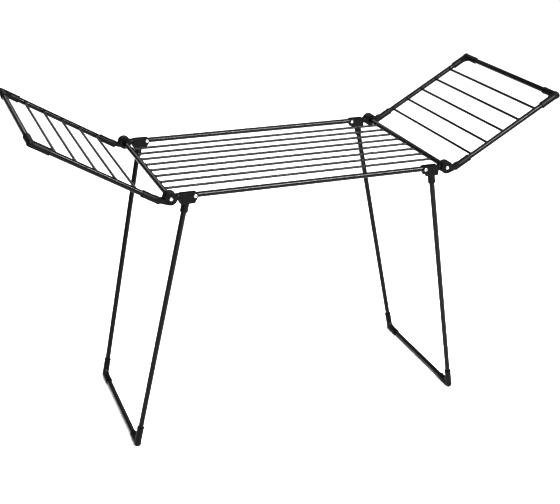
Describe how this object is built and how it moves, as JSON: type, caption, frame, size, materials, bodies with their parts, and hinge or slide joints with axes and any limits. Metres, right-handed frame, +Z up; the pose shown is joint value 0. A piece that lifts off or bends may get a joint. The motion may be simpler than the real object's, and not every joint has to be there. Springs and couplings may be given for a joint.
{
  "type": "folding clothes drying rack",
  "caption": "Free-standing folding clothes airer: a flat rack of rods between side tubes, a raised fold-over wing at each end and two splayed U-shaped legs that fold flat underneath.",
  "frame": {"origin": "middle of the box round the open airer, on the floor", "axes": "+X along the rack towards the right wing, +Y across it towards the back, +Z up"},
  "size_m": [1.7382, 0.6106, 1.0899],
  "materials": {
    "powder_coat": "satin black powder coat on steel tube",
    "rod_coat": "satin black powder coat on thin steel tube",
    "black_plastic": "fine-textured black moulded plastic",
    "rivet_zinc": "bright zinc-plated rivet"
  },
  "bodies": {
    "rack": {"side_tube_front": "powder_coat", "side_tube_back": "powder_coat", "rack_rod_1": "rod_coat", "rack_rod_2": "rod_coat", "rack_rod_3": "rod_coat", "rack_rod_4": "rod_coat", "rack_rod_5": "rod_coat", "rack_rod_6": "rod_coat", "rack_rod_7": "rod_coat", "rack_rod_8": "rod_coat", "cross_tube_left": "powder_coat", "hinge_rivets_left": "rivet_zinc", "leg_rivets_left": "rivet_zinc", "corner_casting_left_front": "black_plastic", "corner_casting_left_back": "black_plastic", "cross_tube_right": "powder_coat", "hinge_rivets_right": "rivet_zinc", "leg_rivets_right": "rivet_zinc", "corner_casting_right_front": "black_plastic", "corner_casting_right_back": "black_plastic"},
    "left_wing": {"wing_end_tube_left": "powder_coat", "wing_rod_left_1": "rod_coat", "wing_rod_left_2": "rod_coat", "wing_rod_left_3": "rod_coat", "wing_rod_left_4": "rod_coat", "wing_rod_left_5": "rod_coat", "wing_hinge_left_front": "black_plastic", "wing_arm_left_front": "powder_coat", "wing_elbow_left_front": "black_plastic", "wing_hinge_left_back": "black_plastic", "wing_arm_left_back": "powder_coat", "wing_elbow_left_back": "black_plastic"},
    "right_wing": {"wing_end_tube_right": "powder_coat", "wing_rod_right_1": "rod_coat", "wing_rod_right_2": "rod_coat", "wing_rod_right_3": "rod_coat", "wing_rod_right_4": "rod_coat", "wing_rod_right_5": "rod_coat", "wing_hinge_right_front": "black_plastic", "wing_arm_right_front": "powder_coat", "wing_elbow_right_front": "black_plastic", "wing_hinge_right_back": "black_plastic", "wing_arm_right_back": "powder_coat", "wing_elbow_right_back": "black_plastic"},
    "left_leg": {"foot_bar_left": "powder_coat", "leg_saddle_left_front": "black_plastic", "leg_tube_left_front": "powder_coat", "foot_elbow_left_front": "black_plastic", "leg_saddle_left_back": "black_plastic", "leg_tube_left_back": "powder_coat", "foot_elbow_left_back": "black_plastic"},
    "right_leg": {"foot_bar_right": "powder_coat", "leg_saddle_right_front": "black_plastic", "leg_tube_right_front": "powder_coat", "foot_elbow_right_front": "black_plastic", "leg_saddle_right_back": "black_plastic", "leg_tube_right_back": "powder_coat", "foot_elbow_right_back": "black_plastic"}
  },
  "joints": [
    {"name": "left_wing_hinge", "type": "hinge", "parent": "rack", "child": "left_wing", "pos_m": [-0.4635, 0, 0.872], "axis": [0, 1, 0], "range_deg": [0, 148.5]},
    {"name": "left_leg_hinge", "type": "hinge", "parent": "rack", "child": "left_leg", "pos_m": [-0.3871, 0, 0.872], "axis": [0, -1, 0], "range_deg": [0, 101]},
    {"name": "right_wing_hinge", "type": "hinge", "parent": "rack", "child": "right_wing", "pos_m": [0.4635, 0, 0.872], "axis": [0, -1, 0], "range_deg": [0, 148.5]},
    {"name": "right_leg_hinge", "type": "hinge", "parent": "rack", "child": "right_leg", "pos_m": [0.3871, 0, 0.872], "axis": [0, 1, 0], "range_deg": [0, 97.5]}
  ]
}
